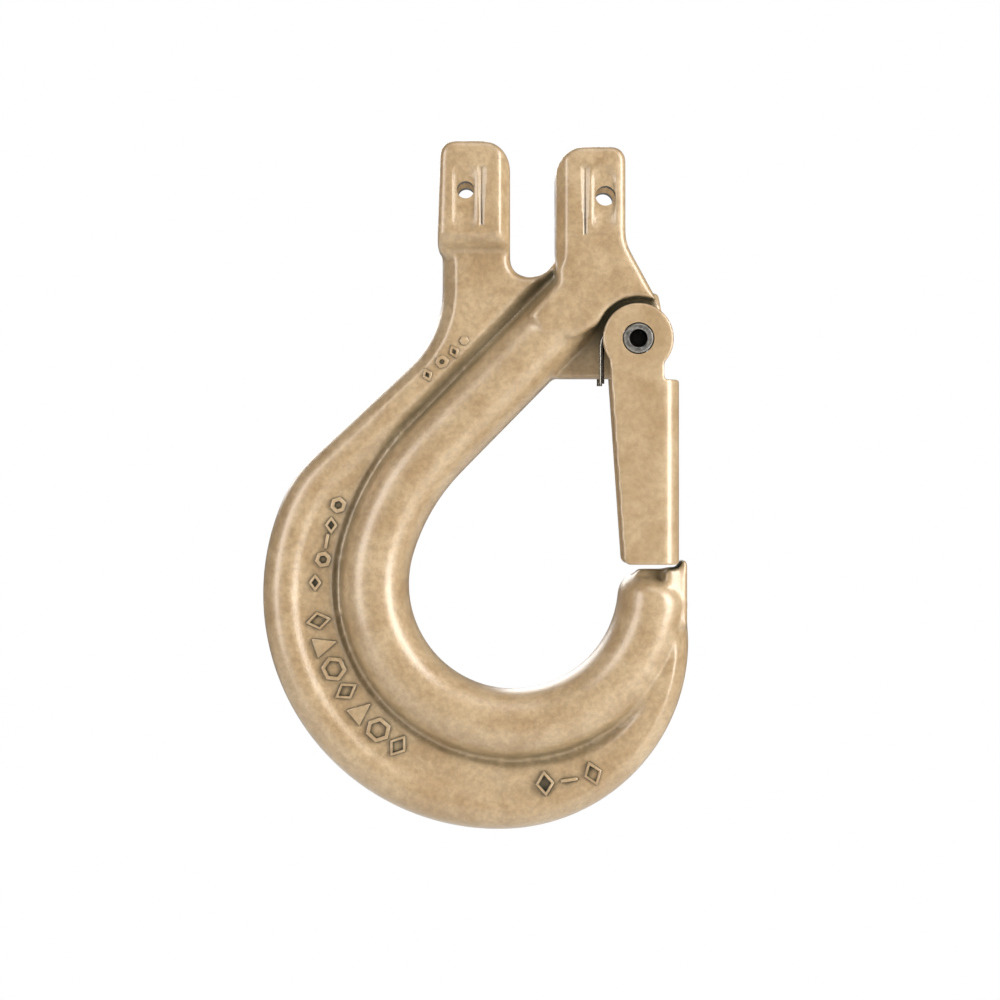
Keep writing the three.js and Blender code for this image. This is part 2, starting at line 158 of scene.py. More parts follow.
# The panel and the level stretches of the flange
PANEL_INSET = 3.5
PANEL_TOP = 4.0  # how far the panel reaches up past the neck's top
LEVEL_INSET = 2.4
LEVEL_DROP = 0.05
LEVEL_FADE = 0.2  # the share of its thickness that a level stretch loses where it fades
NECK_END = -52.0
NECK_RIGHT = 4.0
NECK_FADE = 14.0
BELLY_LEFT = -9.0
BELLY_UPPER = -84.0
BELLY_FADE = (-8.0, -3.0)

# The groove beside the bar: its tool's corners, out from the bar's edge and up from the panel
GROOVE_SECTION = ((4.0, 2.0), (0.5, -1.3), (-2.0, -1.3), (-2.0, 2.0))
GROOVE_FADE_FROM_X = 8.0
GROOVE_FADE = (-113.0, -94.0)
GROOVE_LIFT = 3.2

# The ears
LEFT_EAR = ((-18.3, 9.58, 2.8), (-4.5, 9.58, 5.6), (-4.5, -13.2, 0), (-18.95, -13.2, 2.4))
RIGHT_EAR = (
    (4.5, 8.4, 5.6), (18.3, 8.4, 2.8), (18.3, -10.5, 8.0), (24.9, -22.6, 2.0),
    (22.5, -27.0, 0), (20.0, -22.6, 0), (8.5, -29.4, 2.0), (2.0, -29.0, 0),
    (-1.0, -25.0, 0), (4.9, -18.4, 0), (4.5, -14.0, 0),
)
EAR_EDGE = 1.5
EAR_EDGE_SEGMENTS = 4
FOOT_LEVELS = (-9.0, -10.5, -12.5)  # where the left ear's foot gets edges to bend at
FOOT_TOP = -9.0
FOOT_BOTTOM = -12.6
FOOT_DEPTH = 11.0

# The slot, and how it opens at the flange's faces and at the ears' faces
SLOT_TOP = 16.0
SLOT_FLOOR = -17.0
SLOT_RIGHT_CORNER = 4.6
SLOT_LEFT_CORNER = 3.4
FLANGE_FLARE = 1.6
FLANGE_FLARE_FACES = (6.2, 4.4)
EAR_FLARE = 2.2
EAR_FLARE_OUTSIDE = 0.3
EAR_FLARE_INSIDE = 6.6

# The lug between the latch's cheeks, from the pivot
HEAD_RELIEF = 8.3  # radius of the hollow that the latch's head turns in
LUG_DEPTH = 6.3
LUG_DROP = 7.7
LUG_LEFT = 16.0
LUG_SHOULDER = 4.2
LUG_END = 6.0
LUG_CORNERS = (3.0, 6.2)
PIVOT_BORE = 3.1

# The nose that stops the latch: its lip, the block it stands on, and the tongue
NOSE_RISE = 3.4
NOSE_THICKNESS = 1.4
NOSE_DEPTH = 11.0
NOSE_CORNER = 0.6
NOSE_EDGE = 0.4
BLOCK_WIDTH = 4.6
BLOCK_DEPTH = 14.0
BLOCK_RISE = 1.7
BLOCK_CORNER = 1.0
BLOCK_EDGE = 0.8
BLOCK_TAPER = 0.24
TONGUE_REACH = 10.2
TONGUE_DEPTH = 9.0
TONGUE_RISE = 1.4
TONGUE_START = 1.0
TONGUE_CORNER = 1.0

# The channels, as ((left, right), (high, low)), and the V grooves, as (x, high, low), that the
# dies press into the ears; an inner outline is a share of the outer one, across and along
CHANNELS = (((-16.0, -10.9), (5.4, -8.6)), ((11.5, 16.5), (4.8, -8.8)))
CHANNEL_CORNER = 2.4
CHANNEL_SHARES = (0.8, 0.86)
CHANNEL_FACES = (0.08, -0.45)
V_GROOVES = ((-10.1, 4.8, -7.4), (10.3, 4.8, -9.4))
V_TOP = (1.1, 0.6)  # half width and corner radius
V_BOTTOM = (0.5, 0.3)
V_SHARES = (0.15, 0.9)
V_FACES = (0.15, -0.55)

# The softening that gives the forged look
FORGING_PASSES = 7
GROOVE_SMOOTH_ANGLE = 66  # wide, so that the groove's two slopes meet without a dashed line

# The latch, from the pivot
WEB_REACH = 8.2
STOP_GAP = 0.3  # between the closed latch and the nose
SEAT_GAP = 2.4  # between the closed latch and the tip
BLADE_TOP = 3.0
BLADE_LEFT_TOP = 5.7
BLADE_LEFT_BOTTOM = 2.8
BLADE_RIGHT = 5.1
WEB_TOP = 8.1
WEB_CORNERS = (0.5, 0.7, 1.4)
FOLD_OUTSIDE = 3.8
FOLD_INSIDE = 1.8
CHANNEL_BACK = 7.0
CHANNEL_ENDS = 5.0  # how far the folding tools reach past the blade
LATCH_VOXEL = 0.34
LATCH_PASSES = 3
PIN_ROOM = 0.15

# The pin
PIN_PROUD = 0.2
PIN_EDGE = 0.35
SOCKET_EDGE = 0.15
SOCKET_CONE = 0.9

# The spring: two coils round the pin, with a leg each, and a loop on the latch's web
COIL_ROOM = 0.4
COIL_START = 3.1875 + 0.2  # clear of the lug's side
COIL_GAP = 0.15
COIL_TURNS = 2.25
COIL_POINTS = 72
LEG_GAP = 0.55
LEG_TOP = -1.6
LEG_END = -8.9
LEG_BEND_POINTS = 8
LOOP_DROPS = (-2.0, -6.75, -11.9)
LOOP_CORNER = ((0.15, -12.7), (0.5, -13.2), (1.6, -13.5))  # (inwards, z)

ROUND_STEP = math.radians(12)  # chord angle of an outline's rounded corners
WALK_STEP = 2.0
MERGE = 0.002


def polar(centre, radius, angle):
    return centre + Vector((radius * math.cos(angle), radius * math.sin(angle)))


def lead_in(centre, radius, slope, distance, blend_radius):
    """The arc between a straight side, at a slope and a distance from a centre, and a circle."""
    inward = Vector((math.sin(slope), -math.cos(slope)))
    along = Vector((-math.cos(slope), -math.sin(slope)))
    gap = abs(blend_radius - radius)
    side = blend_radius - distance
    sign = 1 if radius > blend_radius else -1
    middle = centre + inward * side + along * (sign * math.sqrt(gap * gap - side * side))
    outward = (middle - centre) * sign
    start = middle - inward * blend_radius
    return middle, start, slope + math.pi / 2, math.atan2(outward.y, outward.x) % (2 * math.pi)


class HookLines:
    """The lines that the hook's bar and flange follow, worked out from its sizes."""

    def __init__(self, sizes):
        self.half = sizes.bar_width / MM / 2
        self.radius = sizes.bowl_radius / MM + self.half
        offset = self.radius + SHANK_SPREAD
        fall = (LOAD_TO_SHANK.x - BOWL_X) * math.tan(SHANK_SLOPE) + offset / math.cos(SHANK_SLOPE)
        self.bowl = Vector((BOWL_X, LOAD_TO_SHANK.y - fall))
        self.tip_crest = self.bowl.y + TIP_RISE
        self.tip_outer = self.bowl.x + self.radius + self.half
        self.tip_angle = math.asin((self.tip_crest - TIP_DOME - self.bowl.y) / self.radius)
        self.back = self.bowl + BACK_OFFSET
        self.back_radius = self.radius + self.half + FLANGE_REACH

    def bar(self, outward=0.0):
        """Moves along the bar's centre line, or along a line further out; and where it starts."""
        turn_radius = self.radius + SHANK_BLEND
        distance = self.radius + SHANK_SPREAD
        middle, start, first, last = lead_in(
            self.bowl, self.radius, SHANK_SLOPE, distance, turn_radius
        )
        normal = Vector((-math.sin(SHANK_SLOPE), math.cos(SHANK_SLOPE)))
        top = LOAD_TO_SHANK + normal * outward
        foot = start + normal * outward
        moves = [
            ("run", foot - top),
            ("turn", middle, last - first, SHANK_TURNS),
            ("turn", self.bowl, 2 * math.pi + self.tip_angle - last, BOWL_TURNS),
        ]
        return top, normal, moves

    def rim(self):
        """Moves down the flange's outer edge, from the left ear's foot round to the tip."""
        belly = polar(self.back, BELLY_TUCK, BELLY_ANGLE)
        radius = self.back_radius - RIM_BLEND
        middle, start, first, last = lead_in(
            self.back, self.back_radius, RIM_SLOPE, self.back_radius - RIM_TUCK, radius
        )
        drop = (NECK_X - start.x) * math.tan(RIM_SLOPE) + start.y
        tangent = NECK_RADIUS * math.tan((math.pi / 2 - RIM_SLOPE) / 2)
        neck = Vector((NECK_X - NECK_RADIUS, drop + tangent))
        neck_end = polar(neck, NECK_RADIUS, RIM_SLOPE - math.pi / 2)
        top = Vector((NECK_X, NECK_TOP))
        end = belly + Vector((self.back_radius - BELLY_TUCK, 0))
        moves = [
            ("run", Vector((NECK_X, neck.y)) - top),
            ("turn", neck, RIM_SLOPE - math.pi / 2, NECK_TURNS),
            ("run", start - neck_end),
            ("turn", middle, last - first, RIM_TURNS),
            ("turn", self.back, BELLY_ANGLE - last, BACK_TURNS),
            ("turn", belly, 2 * math.pi - BELLY_ANGLE, BELLY_TURNS),
            ("run", Vector((self.tip_outer, self.tip_crest - TIP_DOME)) - end),
        ]
        return top, moves


def walk(start, moves):
    """Points along a list of moves, about one in each step."""
    points = [start.copy()]
    here = start.copy()
    for move in moves:
        if move[0] == "run":
            count = max(1, round(move[1].length / WALK_STEP))
            points += [here + move[1] * (i + 1) / count for i in range(count)]
        else:
            centre, angle = move[1], move[2]
            arm = here - centre
            count = max(1, round(abs(angle) * arm.length / WALK_STEP))
            for i in range(count):
                turned = arm.copy()
                turned.rotate(Matrix.Rotation(angle * (i + 1) / count, 2))
                points.append(centre + turned)
        here = points[-1].copy()
    return points


def moved_inwards(points, distance):
    """The points of a line, each moved to the left of the way the line runs."""
    moved = []
    for i, point in enumerate(points):
        ahead = points[min(i + 1, len(points) - 1)] - points[max(i - 1, 0)]
        moved.append(point + Vector((-ahead.y, ahead.x)).normalized() * distance)
    return moved


def rounded(corners):
    """An outline from corners given as (x, z, radius), with each radius cut into short chords."""
    points = []
    count = len(corners)
    for i, (x, z, radius) in enumerate(corners):
        corner = Vector((x, z))
        if radius == 0:
            points.append(corner)
            continue
        before = (Vector(corners[i - 1][:2]) - corner).normalized()
        after = (Vector(corners[(i + 1) % count][:2]) - corner).normalized()
        half = before.angle(after) / 2
        centre = corner + (before + after).normalized() * (radius / math.sin(half))
        start = corner + before * (radius / math.tan(half)) - centre
        end = corner + after * (radius / math.tan(half)) - centre
        sweep = start.angle_signed(end)
        pieces = max(2, math.ceil(abs(sweep) / ROUND_STEP))
        for k in range(pieces + 1):
            turned = start.copy()
            turned.rotate(Matrix.Rotation(-sweep * k / pieces, 2))
            points.append(centre + turned)
    return points


# ---- Modelling moves ----------------------------------------------------------------------


def new_object(name, data):
    added = bpy.data.objects.new(name, data)
    bpy.context.scene.collection.objects.link(added)
    return added


def activate(piece):
    """Selects one piece and nothing else, and makes it the active one."""
    bpy.ops.object.select_all(action="DESELECT")
    piece.select_set(True)
    bpy.context.view_layer.objects.active = piece


def start_ring(name, points, filled):
    """A closed ring of points in space, in edit mode and all selected, as a filled face or not."""
    fill = "NGON" if filled else "NOTHING"
    bpy.ops.mesh.primitive_circle_add(
        vertices=len(points), radius=MM, fill_type=fill, location=(0, 0, 0)
    )
    ring = bpy.context.object
    ring.name = name
    for vertex, point in zip(ring.data.vertices, points):
        vertex.co = Vector(point) * MM
    bpy.ops.object.mode_set(mode="EDIT")
    bpy.ops.mesh.select_all(action="SELECT")
    return ring


def extrude(x, y, z):
    value = (x * MM, y * MM, z * MM)
    bpy.ops.mesh.extrude_region_move(TRANSFORM_OT_translate={"value": value})


def carry(moves):
    """Extrudes the selection along runs and turns in the XZ plane."""
    for move in moves:
        if move[0] == "run":
            extrude(move[1].x, 0, move[1].y)
        else:
            _, centre, angle, steps = move
            place = (centre.x * MM, 0, centre.y * MM)
            bpy.ops.mesh.spin(steps=steps, angle=angle, center=place, axis=(0, 1, 0))


def finish_edit():
    """Merges what meets, makes every face point outwards and leaves edit mode."""
    bpy.ops.mesh.select_mode(type="VERT")
    bpy.ops.mesh.select_all(action="SELECT")
    bpy.ops.mesh.remove_doubles(threshold=MERGE * MM)
    bpy.ops.mesh.delete_loose(use_verts=True, use_edges=True, use_faces=False)
    bpy.ops.mesh.select_all(action="SELECT")
    bpy.ops.mesh.normals_make_consistent(inside=False)
    bpy.ops.object.mode_set(mode="OBJECT")
    return bpy.context.object


def close_ends():
    """Fills the open ends of a carried ring and finishes the piece."""
    bpy.ops.mesh.select_all(action="DESELECT")
    bpy.ops.mesh.select_mode(type="EDGE")
    bpy.ops.mesh.select_non_manifold(extend=False)
    bpy.ops.mesh.edge_face_add()
    return finish_edit()


def select_edges_where(test):
    """Selects the edges whose two ends pass a test on their place, in millimetres."""
    bpy.ops.mesh.select_mode(type="EDGE")
    bpy.ops.mesh.select_all(action="DESELECT")
    edit = bmesh.from_edit_mesh(bpy.context.object.data)
    for edge in edit.edges:
        edge.select_set(all(test(v.co / MM) for v in edge.verts))
    bmesh.update_edit_mesh(bpy.context.object.data)


def plate(name, outline, depth, edge=0.0, segments=3):
    """A plate with an outline in X and Z, centred on Y = 0, with rounded front and back edges."""
    start_ring(name, [(p.x, depth / 2, p.y) for p in outline], True)
    extrude(0, -depth, 0)
    if edge:
        for side in SIDES:
            face = -side * depth / 2
            select_edges_where(lambda co: abs(co.y - face) < MERGE / 2)
            bpy.ops.mesh.bevel(
                offset=edge * MM, segments=segments, profile=0.5, clamp_overlap=False
            )
    return finish_edit()


def tapered_plug(name, outer, y_outer, inner, y_inner):
    """A plug between two outlines with the same number of points, at two depths."""
    start_ring(name, [(p.x, y_outer, p.y) for p in outer], True)
    extrude(0, 0, 0)
    edit = bmesh.from_edit_mesh(bpy.context.object.data)
    for vertex in (v for v in edit.verts if v.select):
        nearest = min(range(len(outer)), key=lambda i: (vertex.co.xz / MM - outer[i]).length)
        point = inner[nearest]
        vertex.co = Vector((point.x, y_inner, point.y)) * MM
    bmesh.update_edit_mesh(bpy.context.object.data)
    return finish_edit()


def rod(name, centre, radius, depth=THROUGH, sides=48, along="Y"):
    """A round rod along Y or X, used as a cutting tool or a boss."""
    bpy.ops.mesh.primitive_cylinder_add(
        vertices=sides,
        radius=radius * MM,
        depth=depth * MM,
        rotation=(math.pi / 2, 0, 0) if along == "Y" else (0, math.pi / 2, 0),
        location=(centre.x * MM, 0, centre.y * MM),
    )
    bpy.ops.object.transform_apply()
    bpy.context.object.name = name
    return bpy.context.object


def bisect_level(piece, z):
    """Cuts new edges round a piece at a height."""
    activate(piece)
    bpy.ops.object.mode_set(mode="EDIT")
    bpy.ops.mesh.select_all(action="SELECT")
    bpy.ops.mesh.bisect(plane_co=(0, 0, z * MM), plane_no=(0, 0, 1))
    bpy.ops.object.mode_set(mode="OBJECT")


def apply_modifier(piece, kind, **settings):
    activate(piece)
    modifier = piece.modifiers.new(kind.title(), kind)
    for key, value in settings.items():
        setattr(modifier, key, value)
    bpy.ops.object.modifier_apply(modifier=modifier.name)


def combine(piece, tool, operation):
    """Joins a tool to a piece, cuts it away or keeps only what both hold; the tool goes."""
    before = len(piece.data.polygons)
    apply_modifier(piece, "BOOLEAN", operation=operation, solver="MANIFOLD", object=tool)
    if before == 0 or len(piece.data.polygons) == 0:
        raise RuntimeError(f"{tool.name} left nothing of {piece.name}")
    bpy.data.objects.remove(tool)


def fuse(piece, *tools):
    for tool in tools:
        combine(piece, tool, "UNION")


def cut(piece, *tools):
    for tool in tools:
        combine(piece, tool, "DIFFERENCE")


def soften(piece, voxel, passes):
    """Gives a piece even faces, then rounds its edges and corners as a forging's are."""
    apply_modifier(piece, "REMESH", mode="VOXEL", voxel_size=voxel, adaptivity=0.0)
    apply_modifier(piece, "SMOOTH", factor=0.5, iterations=passes)


def finish_piece(piece, body, slot, material, *nodes, angle=40):
    """Shades a piece, gives it its material and body, and hides the CAD nodes it stands for; its
    slot is not used.
    """
    activate(piece)
    bpy.ops.object.shade_smooth_by_angle(angle=math.radians(angle))
    piece.data.materials.clear()
    piece.data.materials.append(material)
    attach(piece, body)
    if nodes:
        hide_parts(*nodes)


def smooth_step(value, low, high):
    t = min(1.0, max(0.0, (value - low) / (high - low)))
    return t * t * (3 - 2 * t)


# ---- Materials ----------------------------------------------------------------------------

# A Mix node's sockets for colours: its factor, its two colours and its result
FACTOR, FIRST, SECOND, RESULT = 0, 6, 7, 2
PATCH_SIZE = 7.0  # the paint's broad patches, in mm
FLAKE_SIZE = 0.55  # the scale's flakes, in mm
CREASE_REACH = 5.0  # how far the painted shade of a corner reaches out of it, in mm
STREAK_SHADE = 0.72


def linear(text):
    """An sRGB hex colour as linear RGBA."""
    parts = [int(text[i : i + 2], 16) / 255 for i in (1, 3, 5)]
    return [p / 12.92 if p <= 0.04045 else ((p + 0.055) / 1.055) ** 2.4 for p in parts] + [1.0]


def grey(value):
    return (value, value, value, 1.0)


def node(tree, kind, settings=None, links=None, values=None):
    """Adds a shader node, with its own fields, the outputs that feed it and its sockets' values."""
    added = tree.nodes.new(kind)
    for field, setting in (settings or {}).items():
        setattr(added, field, setting)
    for socket, value in (values or {}).items():
        added.inputs[socket].default_value = value
    for socket, (source, output) in (links or {}).items():
        tree.links.new(source.outputs[output], added.inputs[socket])
    return added


def new_material(name):
    material = bpy.data.materials.new(name)
    material.use_nodes = True
    material.node_tree.nodes.clear()
    return material, material.node_tree


def cloud(tree, place, size_mm, detail, roughness, distortion=0.0):
    """Soft noise in the object's own coordinates, with features of about a size."""
    values = {
        "Scale": 1 / (size_mm * MM),
        "Detail": detail,
        "Roughness": roughness,
        "Distortion": distortion,
    }
    links = {"Vector": (place, "Object")}
    return node(tree, "ShaderNodeTexNoise", {"noise_dimensions": "3D"}, links, values)


def ramp(tree, source, output, low, high):
    """Turns a value into a colour, from one stop to another; a stop is (place, colour)."""
    added = node(tree, "ShaderNodeValToRGB", links={0: (source, output)})
    added.color_ramp.interpolation = "EASE"
    for element, (place, colour) in zip(added.color_ramp.elements, (low, high)):
        element.position = place
        element.color = colour
    return added


def mix(tree, blend, links, values):
    settings = {"data_type": "RGBA", "blend_type": blend}
    return node(tree, "ShaderNodeMix", settings, links, values)


def creases(tree):
    """How open a place is: 1 on a plain face, and less in corners and hollows; it sets where shade
    is painted.
    """
    values = {"Distance": CREASE_REACH * MM}
    return node(tree, "ShaderNodeAmbientOcclusion", {"samples": 8}, values=values)


def surface(tree, colour, rough, height, bump, bump_mm, values):
    """The shader that shows a mixed colour, a roughness and a bump, and the material's output."""
    relief = node(
        tree,
        "ShaderNodeBump",
        links={"Height": height},
        values={"Strength": bump, "Distance": bump_mm * MM},
    )
    links = {
        "Base Color": (colour, RESULT),
        "Roughness": (rough, "Color"),
        "Normal": (relief, "Normal"),
    }
    shader = node(tree, "ShaderNodeBsdfPrincipled", links=links, values=values)
    node(tree, "ShaderNodeOutputMaterial", links={"Surface": (shader, 0)})


def gold_paint(name, colours, grain, bump, mottle):
    """Gold-tan enamel on steel, dipped and stoved: a half-gloss coat with a faint metallic lustre.

    Broad soft patches show where the film is thicker, fine grain is the scale under the paint,
    and shade is painted into corners and round the marks. The flakes are drawn coarser than real
    ones, so that they show at this distance.
    """
    material, tree = new_material(name)
    place = node(tree, "ShaderNodeTexCoord")
    patches = cloud(tree, place, PATCH_SIZE, 4.0, 0.65, 0.4)
    grains = cloud(tree, place, grain, 3.0, 0.7)
    flakes = cloud(tree, place, FLAKE_SIZE, 2.0, 0.5)
    film = ramp(
        tree, patches, "Fac", (0.30, linear(colours.gold)), (0.72, linear(colours.gold_pale))
    )
    speckle = ramp(tree, grains, "Fac", (0.35, grey(1.0 - mottle)), (0.65, grey(1.0 + mottle)))
    grained = mix(
        tree, "MULTIPLY", {FIRST: (film, "Color"), SECOND: (speckle, "Color")}, {FACTOR: 1.0}
    )
    # painted shade: corners, hollows and the ground round the raised marks are darkened towards the
    # crease shade colour by how enclosed they are
    shade = ramp(tree, creases(tree), "AO", (0.24, grey(1.0)), (0.96, grey(0.0)))
    coloured = mix(
        tree,
        "MIX",
        {FACTOR: (shade, "Color"), FIRST: (grained, RESULT)},
        {SECOND: linear(colours.painted_crease_shade)},
    )
    rough = ramp(tree, grains, "Fac", (0.30, grey(0.34)), (0.75, grey(0.48)))
    height = node(
        tree,
        "ShaderNodeMath",
        {"operation": "MULTIPLY_ADD"},
        {0: (flakes, "Fac"), 2: (grains, "Fac")},
        {1: 0.35},
    )
    values = {"Metallic": 0.1, "IOR": 1.5, "Coat Weight": 1.0, "Coat Roughness": 0.3}
    surface(tree, coloured, rough, (height, 0), bump, 0.12, values)
    return material


def bare_steel(name, colour, roughness, streak_mm):
    """Bare oiled steel, drawn or turned: a grey shine with fine streaks, and shade painted into its
    hollows.
    """
    material, tree = new_material(name)
    place = node(tree, "ShaderNodeTexCoord")
    streaks = cloud(tree, place, streak_mm, 3.0, 0.6)
    bright = linear(colour)
    dull = [c * STREAK_SHADE for c in bright[:3]] + [1.0]
    tint = ramp(tree, streaks, "Fac", (0.3, dull), (0.75, bright))
    # painted shade: the streaked tint is darkened in hollows by how enclosed they are
    shaded = mix(
        tree, "MULTIPLY", {FIRST: (tint, "Color"), SECOND: (creases(tree), "AO")}, {FACTOR: 1.0}
    )
    rough = ramp(
        tree, streaks, "Fac", (0.3, grey(roughness - 0.08)), (0.75, grey(roughness + 0.1))
    )
    surface(tree, shaded, rough, (streaks, "Fac"), 0.25, 0.03, {"Metallic": 1.0})
    return material


# ---- Forging ------------------------------------------------------------------------------


def bar_section(top, normal, half, depth):
    """The bar's section: rounder towards the bowl, fuller towards the groove."""
    points = []
    for i in range(BAR_POINTS):
        angle = 2 * math.pi * i / BAR_POINTS
        c, s = math.cos(angle), math.sin(angle)
        reach = half + BAR_OVERLAP if c > 0 else half
        power = 2 / BAR_FULLNESS_OUT if c > 0 else 1.0
        out = reach * math.copysign(abs(c) ** power, c)
        y = depth / 2 * math.copysign(abs(s) ** (2 / BAR_FULLNESS_FACE), s)
        at = top + normal * out
        points.append((at.x, y, at.y))
    return points


def model_bar(lines, depth):
    """The shank and the bowl's bar, carried round to the tip and domed over there."""
    top, normal, moves = lines.bar()
    start_ring("bar", bar_section(top, normal, lines.half, depth), False)
    carry(moves)
    end = polar(lines.bowl, lines.radius, lines.tip_angle)
    rise = 0.0
    wide = 1.0
    for step in range(1, DOME_STEPS + 1):
        angle = step * DOME_TURN
        extrude(0, 0, TIP_DOME * math.sin(angle) - rise)
        rise = TIP_DOME * math.sin(angle)
        factor = math.cos(angle) ** DOME_TAPER / wide
        wide = math.cos(angle) ** DOME_TAPER
        centre = (end.x * MM, 0, (end.y + rise) * MM)
        bpy.ops.transform.resize(value=(factor, factor, 1), center_override=centre)
    return close_ends()


def model_rim(lines, depth, drop):
    """The flange's rim: rounded outside, a crest, and a slope down to the panel."""
    top, moves = lines.rim()
    crest = depth / 2
    power = 2 / RIM_FULLNESS
    upper = []
    for i in range(RIM_ROUND_POINTS + 1):
        angle = math.pi / 2 * i / RIM_ROUND_POINTS
        inwards = RIM_ROUND * (1 - math.cos(angle) ** power)
        upper.append((inwards, crest * math.sin(angle) ** power))
    upper.append((CREST_END, crest - CREST_DROP))
    upper += [(PANEL_START, crest - drop), (PANEL_LAP, crest - drop)]
    section = upper[1:] + [(u, -y) for u, y in reversed(upper)]
    start_ring("rim", [(top.x + u, y, top.y) for u, y in section], False)
    carry(moves)
    return close_ends()


def model_panel(lines, thickness):
    """The flat panel between the bar and the flange's rim."""
    top, _, bar_moves = lines.bar()
    rim = moved_inwards(walk(*lines.rim()), PANEL_INSET)
    inner = [p for p in walk(top, bar_moves) if p.y < NECK_TOP + PANEL_TOP]
    outline = rim + list(reversed(inner)) + [Vector((top.x, NECK_TOP))]
    return plate("panel", outline, 2 * thickness)


def model_level(name, lines, thickness, keep, corner, fade):
    """A stretch of the flange that is level, without a panel; fade says where it sinks."""
    top, _, bar_moves = lines.bar()
    outer = walk(*lines.rim())
    inset = [p for p, at in zip(moved_inwards(outer, LEVEL_INSET), outer) if keep(at)]
    inner = [p for p in walk(top, bar_moves) if keep(p)]
    level = plate(name, inset + list(reversed(inner)) + corner, 2 * thickness)
    for vertex in level.data.vertices:
        vertex.co.y *= 1 - LEVEL_FADE * fade(vertex.co / MM)
    return level


def neck_level(lines, thickness):
    """The flange under the left ear."""

    def keep(p):
        return p.y > NECK_END and p.x < NECK_RIGHT

    def fade(co):
        return 1 - smooth_step(co.z, NECK_END, NECK_END + NECK_FADE)

    return model_level("neck", lines, thickness, keep, [Vector((NECK_RIGHT, NECK_TOP))], fade)


def belly_level(lines, thickness):
    """The flange under the bowl, towards the tip."""

    def keep(p):
        return p.x > BELLY_LEFT and p.y < BELLY_UPPER

    def fade(co):
        return 1 - smooth_step(co.x, *BELLY_FADE)

    return model_level("belly", lines, thickness, keep, [], fade)


def model_groove(lines, side, thickness):
    """The tool that cuts the groove between the bar and the flange; it fades out at the tip."""
    top, normal, moves = lines.bar(lines.half)
    ring = []
    for outward, height in GROOVE_SECTION:
        at = top + normal * outward
        ring.append((at.x, side * (thickness + height), at.y))
    start_ring("groove", ring, False)
    carry(moves)
    groove = close_ends()
    for vertex in groove.data.vertices:
        if vertex.co.x > GROOVE_FADE_FROM_X * MM:
            lift = smooth_step(vertex.co.z / MM, *GROOVE_FADE)
            vertex.co.y += side * GROOVE_LIFT * MM * lift
    return groove


def model_ears(depth):
    """The two ears: the left one ends in a slope, the right one runs down into the bar."""
    left = plate("left_ear", rounded(LEFT_EAR), depth, EAR_EDGE, EAR_EDGE_SEGMENTS)
    for z in FOOT_LEVELS:
        bisect_level(left, z)
    for vertex in left.data.vertices:
        foot = 1 - smooth_step(vertex.co.z / MM, FOOT_BOTTOM, FOOT_TOP)
        vertex.co.y *= 1 - foot * (1 - FOOT_DEPTH / depth)
    return left, plate("right_ear", rounded(RIGHT_EAR), depth, EAR_EDGE, EAR_EDGE_SEGMENTS)


def slot_outline(width, grow=0.0):
    """The slot's outline, which can be grown all round. Its right corner is wider."""
    half = width / 2 + grow
    floor = SLOT_FLOOR - grow
    return rounded(
        [
            (-half, SLOT_TOP, 0),
            (half, SLOT_TOP, 0),
            (half, floor, SLOT_RIGHT_CORNER + grow),
            (-half, floor, SLOT_LEFT_CORNER + grow),
        ]
    )


def slot_tools(name, width, flare, outside, inside):
    """The tools that open the slot wider at the back and the front."""
    outline = slot_outline(width)
    wide = slot_outline(width, flare)
    return [tapered_plug(name, wide, side * outside, outline, side * inside) for side in SIDES]


def model_lug():
    """The lug between the latch's cheeks, which holds the pin."""
    x, z = PIVOT
    corners = [
        (x - LUG_LEFT, z - LUG_DROP, 0),
        (x - LUG_LEFT, z + HEAD_RELIEF, 0),
        (x + LUG_SHOULDER, z + HEAD_RELIEF + 1, 0),
        (x + LUG_END, z, LUG_CORNERS[0]),
        (x, z - LUG_DROP, LUG_CORNERS[1]),
    ]
    lug = plate("lug", rounded(corners), LUG_DEPTH)
    fuse(lug, rod("lug_end", PIVOT, LUG_END, LUG_DEPTH))
    return lug


def model_nose(lines):
    """The nose's lip, the block it stands on and the tongue between the latch's cheeks."""
    outer = lines.tip_outer
    crest = lines.tip_crest
    foot = crest - 2 * TIP_DOME
    lip = [
        (outer, crest + NOSE_RISE, NOSE_CORNER),
        (outer, foot, 0),
        (outer - lines.half, foot, 0),
        (outer - NOSE_THICKNESS, crest - NOSE_THICKNESS, 0),
        (outer - NOSE_THICKNESS, crest + NOSE_RISE, NOSE_CORNER),
    ]
    block = [
        (outer, crest + BLOCK_RISE, BLOCK_CORNER),
        (outer, crest - TIP_DOME, 0),
        (outer - BLOCK_WIDTH, foot, 0),
        (outer - BLOCK_WIDTH, crest + BLOCK_RISE, BLOCK_CORNER),
    ]
    tongue = [
        (outer - TONGUE_START, crest + TONGUE_RISE, 0),
        (outer - TONGUE_START, foot, 0),
        (outer - TONGUE_REACH, foot, 0),
        (outer - TONGUE_REACH, crest + TONGUE_RISE, TONGUE_CORNER),
    ]
    nose = plate("nose", rounded(lip), NOSE_DEPTH, NOSE_EDGE)
    stand = plate("block", rounded(block), BLOCK_DEPTH, BLOCK_EDGE)
    for vertex in stand.data.vertices:
        share = smooth_step(vertex.co.x / MM, outer - BLOCK_WIDTH, outer)
        vertex.co.y *= 1 - BLOCK_TAPER * share
    fuse(nose, stand, plate("tongue", rounded(tongue), TONGUE_DEPTH, NOSE_EDGE))
    return nose


def ear_die(name, corners, shares, side, face, faces):
    """A tool that narrows inwards from an outline just outside an ear's face."""
    outer = rounded(corners)
    right, left = corners[1][0], corners[0][0]
    middle = Vector(((left + right) / 2, (corners[0][1] + corners[2][1]) / 2))
    across, along = shares
    inner = [middle + Vector(((p.x - middle.x) * across, (p.y - middle.y) * along)) for p in outer]
    return tapered_plug(name, outer, side * (face + faces[0]), inner, side * (face + faces[1]))


